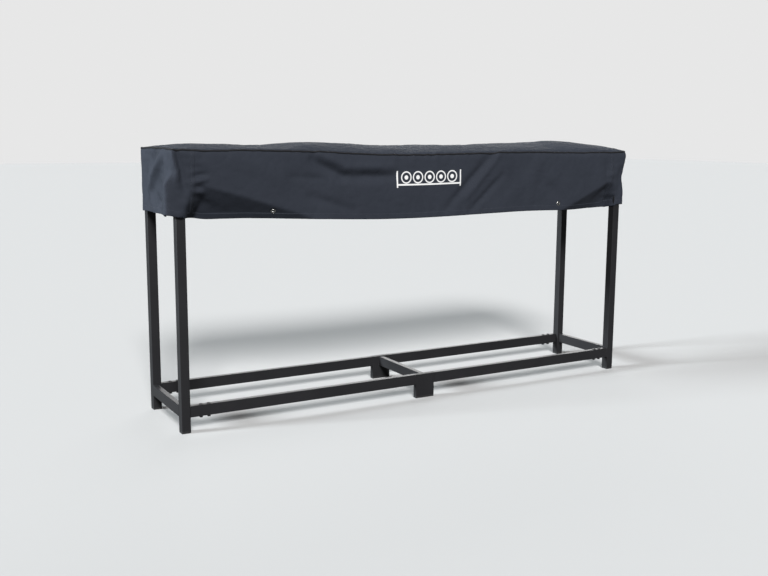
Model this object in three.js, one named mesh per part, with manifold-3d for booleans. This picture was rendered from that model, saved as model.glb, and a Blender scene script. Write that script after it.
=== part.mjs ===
// Firewood log rack with a fitted fabric cover.
// Millimetres, +Z up. The origin is on the ground, under the middle of the rack.
// +X runs along the row of logs and -Y is the front.
//
// Two welded end frames stand on capped posts. Four rails slide over stubs on the end frames
// and on a centre support, and bolts hold them at the end frames. The cover drops over the top.

import * as THREE from 'three';
import { mergeVertices } from 'three/addons/utils/BufferGeometryUtils.js';
import Module from 'manifold-3d';

const wasm = await Module();
wasm.setup();

// ---------------------------------------------------------------- driving dimensions

// the rack over the outer faces of its posts
const rackLength = 2438.4;
const rackDepth = 457.2;
const postHeight = 1175; // ground to the top of the post caps

// square tube posts
const postWidth = 40;
const postWall = 1.5;
const postCorner = 2.5;

// rectangular tube rails, and the crossbars that join the posts of an end frame
const railBottom = 68; // ground to the underside of the rails
const railHeight = 50;
const railDepth = 25.4;
const railWall = 1.5;
const railCorner = 2;
const crossbarWidth = 25.4;
const topCrossbarDrop = 25; // top of the upper crossbar below the post tube's end

// centre support
const legWidth = 101.6;
const legWall = 1.5;

// stubs that the rails slide over
const stubLength = 115;
const stubWall = 2;
const stubCorner = 2.5;
const stubClearance = 0.4;

// bolts through rail and stub
const boltDiameter = 8;
const boltHoleClearance = 0.4;
const boltFromPost = 50;
const boltSpacing = 35;
const boltHeadDiameter = 18;
const boltHeadHeight = 4;
const boltThreadEnd = 1.6; // thread past the nut
const boltChamfer = 1;
const nutAcrossFlats = 13;
const nutHeight = 7;
const nutFlangeDiameter = 17.5;
const nutFlangeHeight = 1.8;
const nutFlangeTaper = 0.8;

// plastic caps
const footCapHeight = 10;
const postCapHeight = 4;
const legCapHeight = 3;
const capPlugDepth = 16;
const capEdge = 0.9; // rounding of a cap's edges

// fabric cover
const clothThickness = 2.5;
const coverDrop = 294; // skirt, from the top edge to the hem
const coverCrown = 35; // rise of the top panel from its edges to its middle
const coverRoomX = 20; // cloth to post, at the ends
const coverRoomY = 11.5; // cloth to post, at the front and rear
const coverRoomZ = 6.5; // cloth to post cap

// grommets in the long skirts
const grommetSpacing = 1580;
const grommetAboveHem = 33;
const grommetBore = 12;
const grommetBarrel = 14.5;
const grommetFlange = 23;
const grommetFlangeThickness = 1.2;

// the gap kept between pieces that touch
const gap = 0.3;

// smoothness of round shapes
const cornerSegments = 2;
const crownSegments = 12;
const domeSegments = 4;
const roundSegments = 12;

// how far a cutting tool runs past each end of what it cuts
const overrun = 1;

// ---------------------------------------------------------------- derived places

const railTop = railBottom + railHeight;
const postX = rackLength / 2 - postWidth / 2;
const postY = rackDepth / 2 - postWidth / 2;
const postFaceX = rackLength / 2 - postWidth; // inner face of a post
const railY = rackDepth / 2 - railDepth / 2;
const crossbarX = rackLength / 2 - crossbarWidth / 2;
const boltHole = boltDiameter / 2 + boltHoleClearance;
const coverHalfX = rackLength / 2 + coverRoomX + clothThickness;
const coverHalfY = rackDepth / 2 + coverRoomY + clothThickness;
const coverEdge = postHeight + coverRoomZ + clothThickness; // top edge of the skirts
const hem = coverEdge - coverDrop;

// ---------------------------------------------------------------- finishes

const powderCoat = new THREE.MeshStandardMaterial({ color: 0x232326, roughness: 0.55, metalness: 0.2 });
const plastic = new THREE.MeshStandardMaterial({ color: 0x161617, roughness: 0.6, metalness: 0 });
const blackZinc = new THREE.MeshStandardMaterial({ color: 0x1c1c1e, roughness: 0.4, metalness: 0.8 });
const cloth = new THREE.MeshStandardMaterial({ color: 0x23262c, roughness: 0.8, metalness: 0 });
const nickel = new THREE.MeshStandardMaterial({ color: 0xb9b9b4, roughness: 0.3, metalness: 1 });

// ---------------------------------------------------------------- solids

// A closed mesh as a solid that can be cut and joined.
function solid(geometry) {
  const bare = geometry.clone();
  bare.deleteAttribute('normal');
  bare.deleteAttribute('uv');
  const merged = mergeVertices(bare, 1e-4);
  return new wasm.Manifold(new wasm.Mesh({
    numProp: 3,
    vertProperties: new Float32Array(merged.attributes.position.array),
    triVerts: new Uint32Array(merged.index.array),
  }));
}

// A solid back to a geometry that a mesh can hold.
function geometryOf(body) {
  const mesh = body.getMesh();
  const geometry = new THREE.BufferGeometry();
  geometry.setAttribute('position', new THREE.BufferAttribute(new Float32Array(mesh.vertProperties), 3));
  geometry.setIndex(new THREE.BufferAttribute(new Uint32Array(mesh.triVerts), 1));
  geometry.computeVertexNormals();
  return geometry;
}

// A rounded rectangle about the origin.
function roundedRectangle(outline, width, height, radius) {
  const x = width / 2 - radius;
  const y = height / 2 - radius;
  const quarter = Math.PI / 2;
  outline.absarc(x, y, radius, 0, quarter);
  outline.absarc(-x, y, radius, quarter, 2 * quarter);
  outline.absarc(-x, -y, radius, 2 * quarter, 3 * quarter);
  outline.absarc(x, -y, radius, 3 * quarter, 4 * quarter);
  return outline;
}

// A bar of a flat shape along +Z from 0.
function bar(shape, length) {
  return new THREE.ExtrudeGeometry(shape, {
    depth: length, bevelEnabled: false, curveSegments: cornerSegments,
  });
}

// A rectangular tube along +Z from 0, open at both ends.
function tube(width, height, wall, corner, length) {
  const section = roundedRectangle(new THREE.Shape(), width, height, corner);
  const inner = roundedRectangle(new THREE.Path(), width - 2 * wall, height - 2 * wall, corner - wall);
  section.holes.push(inner);
  return bar(section, length);
}

// A round rod along +Z from 0.
function rod(radius, length) {
  return new THREE.CylinderGeometry(radius, radius, length, roundSegments)
    .rotateX(Math.PI / 2).translate(0, 0, length / 2);
}

// Turns a piece made along +Z so that it runs along +X: its x becomes Y and its y becomes Z.
function alongX(geometry) {
  const turn = new THREE.Matrix4().makeBasis(
    new THREE.Vector3(0, 1, 0), new THREE.Vector3(0, 0, 1), new THREE.Vector3(1, 0, 0));
  return geometry.applyMatrix4(turn);
}

// Turns a piece made along +Z so that it runs along +Y: its x becomes Z and its y becomes X.
function alongY(geometry) {
  const turn = new THREE.Matrix4().makeBasis(
    new THREE.Vector3(0, 0, 1), new THREE.Vector3(1, 0, 0), new THREE.Vector3(0, 1, 0));
  return geometry.applyMatrix4(turn);
}

// Puts a named piece at a place in a group.
function place(group, name, geometry, material, x, y, z) {
  const mesh = new THREE.Mesh(geometry, material);
  mesh.name = name;
  mesh.position.set(x, y, z);
  group.add(mesh);
}

// ---------------------------------------------------------------- pieces

// A plastic cap over a tube's end: a rounded plate from 0 to its height and a plug above it.
function tubeCap(width, depth, corner, wall, height) {
  const plate = roundedRectangle(new THREE.Shape(), width - 2 * capEdge, depth - 2 * capEdge, corner);
  const rounded = new THREE.ExtrudeGeometry(plate, {
    depth: height - 2 * capEdge,
    bevelThickness: capEdge,
    bevelSize: capEdge,
    bevelSegments: 1,
    curveSegments: cornerSegments,
  }).translate(0, 0, capEdge);
  const inset = 2 * (wall + gap);
  const plugShape = roundedRectangle(new THREE.Shape(), width - inset, depth - inset, corner - wall);
  const plugLength = height / 2 + capPlugDepth;
  const plug = bar(plugShape, plugLength).translate(0, 0, height / 2);
  return geometryOf(solid(rounded).add(solid(plug)));
}

// Bolt hole places along a rail or stub, measured from the face of the post.
const boltPlaces = [boltFromPost, boltFromPost + boltSpacing];

// A tube along +X with bolt holes through its top and bottom walls.
function drilledTube(height, depth, wall, corner, length, places) {
  let body = solid(alongX(tube(depth, height, wall, corner, length)));
  for (const x of places) {
    const drill = rod(boltHole, height + 2 * overrun).translate(x, 0, -height / 2 - overrun);
    body = body.subtract(solid(drill));
  }
  return geometryOf(body);
}

// A carriage bolt hanging from its domed head, with the head's underside at 0.
function carriageBolt(length) {
  const headRadius = boltHeadDiameter / 2;
  const shank = boltDiameter / 2;
  const profile = [new THREE.Vector2(0, -length)];
  profile.push(new THREE.Vector2(shank - boltChamfer, -length));
  profile.push(new THREE.Vector2(shank, -length + boltChamfer));
  profile.push(new THREE.Vector2(shank, 0));
  profile.push(new THREE.Vector2(headRadius, 0));
  for (let i = 1; i < domeSegments; i += 1) {
    const turn = (Math.PI / 2) * (i / domeSegments);
    profile.push(new THREE.Vector2(headRadius * Math.cos(turn), boltHeadHeight * Math.sin(turn)));
  }
  profile.push(new THREE.Vector2(0, boltHeadHeight));
  return new THREE.LatheGeometry(profile, roundSegments).rotateX(Math.PI / 2);
}

// A flanged hexagon nut hanging below 0, with its flange on top.
function flangeNut() {
  const corner = nutAcrossFlats / Math.sqrt(3);
  const hexagon = new THREE.CylinderGeometry(corner, corner, nutHeight, 6)
    .rotateX(Math.PI / 2).translate(0, 0, -nutHeight / 2);
  const flangeRadius = nutFlangeDiameter / 2;
  const flange = new THREE.CylinderGeometry(
    flangeRadius, flangeRadius - nutFlangeTaper, nutFlangeHeight, roundSegments)
    .rotateX(Math.PI / 2).translate(0, 0, -nutFlangeHeight / 2);
  const bore = rod(boltDiameter / 2 + gap, nutHeight + 2 * overrun)
    .translate(0, 0, -nutHeight - overrun);
  return geometryOf(solid(hexagon).add(solid(flange)).subtract(solid(bore)));
}

// A two-flanged ring for a cloth panel that lies in the XZ plane, with its middle at the origin.
function grommet() {
  const bore = grommetBore / 2;
  const barrel = grommetBarrel / 2;
  const flange = grommetFlange / 2;
  const inner = clothThickness / 2 + gap;
  const outer = inner + grommetFlangeThickness;
  const crest = (bore + flange) / 2;
  const swell = outer + grommetFlangeThickness / 2;
  const half = [
    new THREE.Vector2(bore, 0),
    new THREE.Vector2(bore, outer),
    new THREE.Vector2(crest, swell),
    new THREE.Vector2(flange, inner + grommetFlangeThickness / 2),
    new THREE.Vector2(flange, inner),
    new THREE.Vector2(barrel, inner),
  ];
  const mirrored = half.slice(1).reverse().map((p) => new THREE.Vector2(p.x, -p.y));
  const ring = [...half, ...mirrored, half[0].clone()];
  return new THREE.LatheGeometry(ring.reverse(), roundSegments);
}

// ---------------------------------------------------------------- frame

const frame = new THREE.Group();
const lengthwise = [['left', -1], ['right', 1]];
const crosswise = [['front', -1], ['rear', 1]];

const postTube = tube(postWidth, postWidth, postWall, postCorner,
  postHeight - footCapHeight - postCapHeight - 2 * gap);
const footCap = tubeCap(postWidth, postWidth, postCorner, postWall, footCapHeight);
const postCap = tubeCap(postWidth, postWidth, postCorner, postWall, postCapHeight).rotateX(Math.PI);

for (const [side, sx] of lengthwise) {
  for (const [face, sy] of crosswise) {
    const corner = `${face}_${side}`;
    place(frame, `post_${corner}`, postTube, powderCoat, sx * postX, sy * postY, footCapHeight + gap);
    place(frame, `foot_cap_${corner}`, footCap, plastic, sx * postX, sy * postY, 0);
    place(frame, `post_cap_${corner}`, postCap, plastic, sx * postX, sy * postY, postHeight);
  }
}

const crossbarLength = rackDepth - 2 * postWidth - 2 * gap;
const crossbar = alongY(tube(railHeight, crossbarWidth, railWall, railCorner, crossbarLength));
const bottomCrossbarZ = railBottom + railHeight / 2;
const topCrossbarZ = postHeight - postCapHeight - gap - topCrossbarDrop - railHeight / 2;

for (const [side, sx] of lengthwise) {
  const x = sx * crossbarX;
  const start = -crossbarLength / 2;
  place(frame, `crossbar_bottom_${side}`, crossbar, powderCoat, x, start, bottomCrossbarZ);
  place(frame, `crossbar_top_${side}`, crossbar, powderCoat, x, start, topCrossbarZ);
}

// ---------------------------------------------------------------- centre support

const legTubeLength = railTop - footCapHeight - legCapHeight - 2 * gap;
const legTube = tube(legWidth, railDepth, legWall, railCorner, legTubeLength);
const legFootCap = tubeCap(legWidth, railDepth, railCorner, legWall, footCapHeight);
const legTopCap = tubeCap(legWidth, railDepth, railCorner, legWall, legCapHeight).rotateX(Math.PI);
for (const [face, sy] of crosswise) {
  place(frame, `centre_leg_${face}`, legTube, powderCoat, 0, sy * railY, footCapHeight + gap);
  place(frame, `centre_foot_cap_${face}`, legFootCap, plastic, 0, sy * railY, 0);
  place(frame, `centre_leg_cap_${face}`, legTopCap, plastic, 0, sy * railY, railTop);
}

const centreCrossbarLength = rackDepth - 2 * railDepth - 2 * gap;
const centreCrossbarHeight = railHeight - legCapHeight - gap;
const centreCrossbar = alongY(
  tube(centreCrossbarHeight, crossbarWidth, railWall, railCorner, centreCrossbarLength));
place(frame, 'centre_crossbar', centreCrossbar, powderCoat,
  0, -centreCrossbarLength / 2, railBottom + centreCrossbarHeight / 2);

// ---------------------------------------------------------------- rails and stubs

const stubHeight = railHeight - 2 * (railWall + stubClearance);
const stubDepth = railDepth - 2 * (railWall + stubClearance);
const holePlaces = boltPlaces.map((x) => x - gap);
const postStub = drilledTube(stubHeight, stubDepth, stubWall, stubCorner, stubLength, holePlaces);
const centreStub = drilledTube(stubHeight, stubDepth, stubWall, stubCorner, stubLength, []);
const railLength = postFaceX - legWidth / 2 - 2 * gap;
const rail = drilledTube(railHeight, railDepth, railWall, railCorner, railLength, holePlaces);
const bolt = carriageBolt(railHeight + gap + nutHeight + boltThreadEnd);
const nut = flangeNut();
const boltNames = ['outer', 'inner'];

for (const [side, sx] of lengthwise) {
  // a right-hand piece is the left-hand one turned half a turn about the upright
  const turn = sx < 0 ? 0 : Math.PI;
  for (const [face, sy] of crosswise) {
    const corner = `${face}_${side}`;
    const holder = new THREE.Group();
    holder.position.set(0, sy * railY, 0);
    const turned = new THREE.Group();
    turned.rotation.z = turn;
    holder.add(turned);
    frame.add(holder);
    const middle = railBottom + railHeight / 2;
    const start = -postFaceX + gap;
    place(turned, `rail_${corner}`, rail, powderCoat, start, 0, middle);
    place(turned, `post_stub_${corner}`, postStub, powderCoat, start, 0, middle);
    place(turned, `centre_stub_${corner}`, centreStub, powderCoat,
      -legWidth / 2 - gap - stubLength, 0, middle);
    boltPlaces.forEach((fromPost, i) => {
      const x = -postFaceX + fromPost;
      place(turned, `rail_bolt_${corner}_${boltNames[i]}`, bolt, blackZinc, x, 0, railTop + gap);
      place(turned, `rail_nut_${corner}_${boltNames[i]}`, nut, blackZinc, x, 0, railBottom - gap);
    });
  }
}

// ---------------------------------------------------------------- cover

const cover = new THREE.Group();
const crownRadius = (coverHalfY ** 2 + coverCrown ** 2) / (2 * coverCrown);
const crownCentre = coverEdge + coverCrown - crownRadius;

// Adds an arc of the crowned top to an outline, in Y and Z, from one side to the other.
function crownArc(outline, radius, halfWidth, forwards) {
  const spread = Math.asin(halfWidth / radius);
  const upright = Math.PI / 2;
  const lean = forwards ? spread : -spread;
  outline.absarc(0, crownCentre, radius, upright + lean, upright - lean, forwards);
}

// The top panel: a thin crowned sheet the whole length of the cover.
function topPanel() {
  const section = new THREE.Shape();
  crownArc(section, crownRadius, coverHalfY, true);
  crownArc(section, crownRadius - clothThickness, coverHalfY, false);
  return alongX(new THREE.ExtrudeGeometry(section, {
    depth: 2 * coverHalfX, bevelEnabled: false, curveSegments: crownSegments,
  }));
}

// A long skirt panel with two grommet holes, standing in the XZ plane from Y = 0.
const skirtTop = coverEdge - clothThickness - gap;
function longSkirt() {
  const panel = new THREE.Shape();
  panel.moveTo(-coverHalfX, hem);
  panel.lineTo(coverHalfX, hem);
  panel.lineTo(coverHalfX, skirtTop);
  panel.lineTo(-coverHalfX, skirtTop);
  for (const sx of [-1, 1]) {
    const hole = new THREE.Path();
    const x = (sx * grommetSpacing) / 2;
    hole.absarc(x, hem + grommetAboveHem, grommetBarrel / 2 + gap, 0, 2 * Math.PI);
    panel.holes.push(hole);
  }
  const sheet = new THREE.ExtrudeGeometry(panel, {
    depth: clothThickness, bevelEnabled: false, curveSegments: roundSegments,
  });
  return sheet.rotateX(Math.PI / 2).translate(0, clothThickness, 0);
}

// An end panel between the long skirts, with its top edge under the crowned sheet.
function endSkirt() {
  const halfWidth = coverHalfY - clothThickness - gap;
  const panel = new THREE.Shape();
  crownArc(panel, crownRadius - clothThickness - gap, halfWidth, true);
  panel.lineTo(halfWidth, hem);
  panel.lineTo(-halfWidth, hem);
  return alongX(new THREE.ExtrudeGeometry(panel, {
    depth: clothThickness, bevelEnabled: false, curveSegments: crownSegments,
  }));
}

place(cover, 'cover_top', topPanel(), cloth, -coverHalfX, 0, 0);
place(cover, 'cover_front', longSkirt(), cloth, 0, -coverHalfY, 0);
place(cover, 'cover_rear', longSkirt(), cloth, 0, coverHalfY - clothThickness, 0);
place(cover, 'cover_left', endSkirt(), cloth, -coverHalfX, 0, 0);
place(cover, 'cover_right', endSkirt(), cloth, coverHalfX - clothThickness, 0, 0);

const ring = grommet();
for (const [face, sy] of crosswise) {
  for (const [side, sx] of lengthwise) {
    place(cover, `grommet_${face}_${side}`, ring, nickel,
      (sx * grommetSpacing) / 2, sy * (coverHalfY - clothThickness / 2), hem + grommetAboveHem);
  }
}

// ---------------------------------------------------------------- the whole rack

const rack = new THREE.Group();
rack.add(frame, cover);

export default rack;
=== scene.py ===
# %% [markdown]
# # A firewood log rack with a fitted cover
#
# The rack is two welded end frames, four rails and a centre support, all of black powder-coated
# steel tube, and a sewn cloth cover drops over the top. The steel is already modelled exactly,
# so here it only needs its finish and its welds. The cover is where the work is: real cloth
# sags between what holds it, puckers at its seams and never hangs quite straight, so it is
# draped by a cloth simulation and then sewn, hemmed and printed in code.
#
# Everything is in metres, +Z up, with the origin on the ground under the middle of the rack.
# -Y is the front and +X runs along the row of logs.

# %% Load the steel frame and note its box
import math
import random

import bmesh
import bpy
import numpy as np
from mathutils import Matrix, Vector, noise
from mathutils.bvhtree import BVHTree
from mathutils.geometry import barycentric_transform


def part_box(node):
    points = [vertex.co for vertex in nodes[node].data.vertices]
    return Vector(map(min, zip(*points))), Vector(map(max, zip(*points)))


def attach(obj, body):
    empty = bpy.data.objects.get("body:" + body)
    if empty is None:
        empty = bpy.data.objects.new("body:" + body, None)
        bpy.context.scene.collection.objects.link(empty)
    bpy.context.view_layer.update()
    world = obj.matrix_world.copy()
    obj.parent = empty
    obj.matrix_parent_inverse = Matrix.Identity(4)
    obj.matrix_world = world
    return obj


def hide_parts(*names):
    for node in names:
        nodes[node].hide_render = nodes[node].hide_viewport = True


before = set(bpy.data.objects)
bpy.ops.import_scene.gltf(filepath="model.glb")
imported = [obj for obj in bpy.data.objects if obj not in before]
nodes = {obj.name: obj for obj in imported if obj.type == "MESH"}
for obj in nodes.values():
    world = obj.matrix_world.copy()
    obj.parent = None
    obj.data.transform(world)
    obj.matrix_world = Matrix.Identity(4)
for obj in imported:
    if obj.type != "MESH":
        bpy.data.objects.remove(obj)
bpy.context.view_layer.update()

# %% [markdown]
# ## The camera
#
# The rack is seen from the front and well to the left, from a little above its top, with a
# slightly long lens so that the far end doesn't shrink too much. The camera is set by where it
# stands and by three angles: how far it turns from straight ahead, how far it looks down, and
# a slight roll.

# %% Camera
CAMERA_PLACE = Vector((-2.4059, -4.0051, 1.2547))
CAMERA_TURN = math.radians(29.90)
CAMERA_DOWN = math.radians(9.10)
CAMERA_ROLL = math.radians(0.34)
CAMERA_LENS = 44.3


def add_camera():
    data = bpy.data.cameras.new("camera")
    data.lens = CAMERA_LENS
    data.sensor_width = 36
    camera = bpy.data.objects.new("camera", data)
    bpy.context.scene.collection.objects.link(camera)
    turn = Matrix.Rotation(-CAMERA_TURN, 4, "Z")
    tilt = Matrix.Rotation(math.radians(90) - CAMERA_DOWN, 4, "X")
    roll = Matrix.Rotation(CAMERA_ROLL, 4, "Z")
    camera.matrix_world = Matrix.Translation(CAMERA_PLACE) @ turn @ tilt @ roll
    bpy.context.scene.camera = camera
    return camera


camera = add_camera()
print("camera looks along", camera.matrix_world.to_quaternion() @ Vector((0, 0, -1)))

# %% [markdown]
# ## The studio
#
# A plain pale floor runs back to a pale backdrop. Black things show their shape only by how
# light falls off across them, so the light is directional: one soft light low on the left and
# slightly behind, which rakes across the end of the cover, one from the front and high up,
# which picks out every fold, and a faint one from the right and behind. Lights at a great
# distance keep the whole floor equally bright. The floor and the backdrop are pale to look at
# but give off less light than they show, or they would fill every shadow. Colours are kept as
# they are, with no film curve over them.

# %% Floor, backdrop and lights
FLOOR_SIZE = 80.0
FLOOR_SHOWN = 0.49
FLOOR_GIVEN = 0.11
BACKDROP_SHOWN = 0.80
BACKDROP_GIVEN = 0.10
COOL_WHITE = (0.90, 0.97, 1.0)
WHITE = (1.0, 1.0, 1.0)


def add_soft_light(name, come_from, power, softness, colour):
    """A distant light; softness is how wide it looks in the sky, in degrees."""
    data = bpy.data.lights.new(name, "SUN")
    data.color = colour
    data.energy = power
    data.angle = math.radians(softness)
    light = bpy.data.objects.new(name, data)
    bpy.context.scene.collection.objects.link(light)
    light.rotation_euler = Vector(come_from).to_track_quat("Z", "Y").to_euler()


def seen_or_given(tree, seen, given):
    """A value that is one thing to look at and another as a source of light."""
    path = tree.nodes.new("ShaderNodeLightPath")
    level = tree.nodes.new("ShaderNodeMapRange")
    level.inputs["To Min"].default_value = given
    level.inputs["To Max"].default_value = seen
    tree.links.new(path.outputs["Is Camera Ray"], level.inputs["Value"])
    return level.outputs["Result"]


def add_backdrop():
    world = bpy.data.worlds.new("pale_backdrop")
    world.use_nodes = True
    tree = world.node_tree
    background = tree.nodes["Background"]
    background.inputs["Color"].default_value = (*WHITE, 1.0)
    strength = seen_or_given(tree, BACKDROP_SHOWN, BACKDROP_GIVEN)
    tree.links.new(strength, background.inputs["Strength"])
    bpy.context.scene.world = world


def add_floor():
    half = FLOOR_SIZE / 2
    mesh = bpy.data.meshes.new("floor")
    corners = [(-half, -half, 0), (half, -half, 0), (half, half, 0), (-half, half, 0)]
    mesh.from_pydata(corners, [], [(0, 1, 2, 3)])
    floor = bpy.data.objects.new("floor", mesh)
    bpy.context.scene.collection.objects.link(floor)
    paint = bpy.data.materials.new("pale_floor")
    paint.use_nodes = True
    shader = paint.node_tree.nodes["Principled BSDF"]
    pale = seen_or_given(paint.node_tree, FLOOR_SHOWN, FLOOR_GIVEN)
    paint.node_tree.links.new(pale, shader.inputs["Base Color"])
    shader.inputs["Roughness"].default_value = 0.9
    shader.inputs["Specular IOR Level"].default_value = 0.0
    mesh.materials.append(paint)


add_floor()
add_backdrop()
bpy.context.scene.view_settings.view_transform = "Standard"
add_soft_light("left_light", (-0.95, 0.17, 0.28), 6.3, 12, COOL_WHITE)
add_soft_light("front_light", (-0.36, -1.0, 0.75), 4.6, 16, WHITE)
add_soft_light("rear_light", (0.7, 1.0, 0.32), 1.4, 40, WHITE)
print("stage and lights are set")

# %% [markdown]
# ## Shader maths as plain expressions
#
# Most finishes here are small sums: a bit of grain plus a bit of blotch. Adding Math nodes by
# hand hides the sum, so a socket is wrapped in a small class whose operators add the nodes.
# Every other node comes from one method, `add`.

# %% Wire and Finish
class Wire:
    """An output socket that can be used in a sum."""

    def __init__(self, finish, socket):
        self.finish = finish
        self.socket = socket

    def maths(self, operation, *values):
        return self.finish.add("ShaderNodeMath", {"operation": operation}, dict(enumerate(values)))

    def __add__(self, other):
        return self.maths("ADD", self, other)

    def __sub__(self, other):
        return self.maths("SUBTRACT", self, other)

    def __rsub__(self, other):
        return self.maths("SUBTRACT", other, self)

    def __mul__(self, other):
        return self.maths("MULTIPLY", self, other)

    def __pow__(self, other):
        return self.maths("POWER", self, other)

    def __mod__(self, other):
        return self.maths("MODULO", self, other)

    __radd__ = __add__
    __rmul__ = __mul__

    def sine(self):
        return self.maths("SINE", self)

    def absolute(self):
        return self.maths("ABSOLUTE", self)

    def clamped(self):
        return self.maths("MINIMUM", self.maths("MAXIMUM", self, 0.0), 1.0)


class Finish:
    """A material and the nodes that it is built from."""

    def __init__(self, name):
        self.material = bpy.data.materials.new(name)
        self.material.use_nodes = True
        self.tree = self.material.node_tree
        self.shader = self.tree.nodes["Principled BSDF"]

    def add(self, kind, settings=None, sockets=None, output=0):
        node = self.tree.nodes.new(kind)
        for key, value in (settings or {}).items():
            setattr(node, key, value)
        for key, value in (sockets or {}).items():
            self.feed(node.inputs[key], value)
        return Wire(self, node.outputs[output])

    def feed(self, socket, value):
        if isinstance(value, Wire):
            self.tree.links.new(value.socket, socket)
        else:
            socket.default_value = value

    def set(self, **sockets):
        """Sets the shader's own sockets, with _ for a space in a socket's name."""
        for key, value in sockets.items():
            self.feed(self.shader.inputs[key.replace("_", " ")], value)
        return self

    def place(self):
        return self.add("ShaderNodeTexCoord", output="Object")

    def noise(self, where, scale, detail=3.0, roughness=0.5):
        sockets = {"Vector": where, "Scale": scale, "Detail": detail, "Roughness": roughness}
        return self.add("ShaderNodeTexNoise", None, sockets)

    def mix(self, factor, first, second):
        """A colour between two others, each a link or three numbers."""
        node = self.tree.nodes.new("ShaderNodeMix")
        node.data_type = "RGBA"
        ports = {s.name: s for s in node.inputs if s.enabled}
        self.feed(ports["Factor"], factor)
        for key, colour in (("A", first), ("B", second)):
            self.feed(ports[key], colour if isinstance(colour, Wire) else (*colour, 1.0))
        return Wire(self, next(s for s in node.outputs if s.enabled))

    def bump(self, height, strength, distance):
        sockets = {"Height": height, "Strength": strength, "Distance": distance}
        return self.add("ShaderNodeBump", None, sockets)


print("finishes are built from", Wire.__name__, "and", Finish.__name__)

# %% [markdown]
# ## Powder coat
#
# Powder coat is plastic dust melted onto the steel. It is satin, never mirror-like, with a fine
# orange-peel texture about a millimetre across, and it greys very slightly where dust settles.
# The grain is noise on object coordinates, so it runs on over tubes, welds and corners alike.

# %% Powder coat, for the steel
def powder_coat():
    finish = Finish("powder_coat_black")
    where = finish.place()
    grain = finish.noise(where, 700.0, 2.0, 0.6)
    peel = finish.noise(where, 260.0, 2.0, 0.5)
    blotch = finish.noise(where, 6.0, 4.0, 0.6)
    tone = blotch * 0.7 + grain * 0.3
    finish.set(
        Base_Color=finish.mix(tone, (0.0100, 0.0100, 0.0112), (0.0180, 0.0180, 0.0200)),
        Roughness=blotch * 0.12 + grain * 0.10 + 0.34,
        Normal=finish.bump(grain * 0.5 + peel, 0.35, 0.0004),
        Specular_IOR_Level=0.36,
    )
    return finish.material


steel = powder_coat()
print("finish:", steel.name)

# %% [markdown]
# ## Moulded plastic and black zinc
#
# The caps are polyethylene, duller and a little greasier than the paint, with a fine moulded
# grain. The bolts and nuts are black zinc: dark metal, with streaks where the plating is thin.

# %% Plastic for the caps, and zinc for the bolts and nuts
def moulded_plastic():
    finish = Finish("moulded_plastic_black")
    where = finish.place()
    grain = finish.noise(where, 900.0, 2.0, 0.5)
    scuff = finish.noise(where, 45.0, 5.0, 0.7)
    finish.set(
        Base_Color=finish.mix(scuff, (0.011, 0.011, 0.012), (0.020, 0.020, 0.021)),
        Roughness=scuff * 0.22 + 0.45,
        Normal=finish.bump(grain, 0.25, 0.0003),
        Specular_IOR_Level=0.45,
    )
    return finish.material


def black_zinc():
    finish = Finish("black_zinc")
    where = finish.place()
    streak = finish.noise(where, 160.0, 4.0, 0.65)
    finish.set(
        Base_Color=finish.mix(streak, (0.020, 0.020, 0.023), (0.070, 0.068, 0.066)),
        Metallic=0.85,
        Roughness=streak * 0.25 + 0.28,
        Normal=finish.bump(streak, 0.15, 0.0002),
    )
    return finish.material


plastic = moulded_plastic()
zinc = black_zinc()
print("finishes:", plastic.name, zinc.name)

# %% [markdown]
# Each steel, plastic and zinc piece keeps its exact mesh and only takes its finish.

# %% Give the frame's own pieces their finishes
def finish_of(name):
    if "cap" in name:
        return plastic
    if "bolt" in name or "nut" in name:
        return zinc
    return steel


def is_cover(name):
    return name.startswith(("cover_", "grommet_"))


hard_nodes = [name for name in nodes if not is_cover(name)]
for name in hard_nodes:
    nodes[name].data.materials.clear()
    nodes[name].data.materials.append(finish_of(name))
print("hard pieces finished:", len(hard_nodes))

# %% [markdown]
# ## Geometry Nodes that follow a path
#
# Weld beads, stitches and piping all follow a line on the object. The line is made first as a
# mesh of edges, and a small node tree then lays the repeated shape along it. The helpers below
# make an object from points and edges, build a tree from a few calls, and turn the result into
# a plain mesh.

# %% Helpers for meshes
BODY_OF_FRAME = "rack"
BODY_OF_COVER = "cover"


def object_from(name, points, edges=(), faces=()):
    mesh = bpy.data.meshes.new(name)
    mesh.from_pydata([tuple(p) for p in points], list(edges), list(faces))
    mesh.validate()
    made = bpy.data.objects.new(name, mesh)
    bpy.context.scene.collection.objects.link(made)
    return made


def path_edges(count, closed, first=0):
    edges = [(first + i, first + i + 1) for i in range(count - 1)]
    if closed:
        edges.append((first + count - 1, first))
    return edges


def paths_object(name, paths):
    """One object that holds several lines, each (points, closed)."""
    points = []
    edges = []
    for line, closed in paths:
        edges += path_edges(len(line), closed, len(points))
        points += list(line)
    return object_from(name, points, edges)


def shade_smooth(made):
    for polygon in made.data.polygons:
        polygon.use_smooth = True


def turn_outwards(made, merge=None):
    """Points every face outwards, once points closer together than merge are made one."""
    work = bmesh.new()
    work.from_mesh(made.data)
    if merge:
        bmesh.ops.remove_doubles(work, verts=work.verts, dist=merge)
    bmesh.ops.recalc_face_normals(work, faces=work.faces)
    work.to_mesh(made.data)
    work.free()


def triangles(made):
    return sum(len(p.vertices) - 2 for p in made.data.polygons)


print("pieces ride on:", BODY_OF_FRAME, BODY_OF_COVER)

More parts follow.
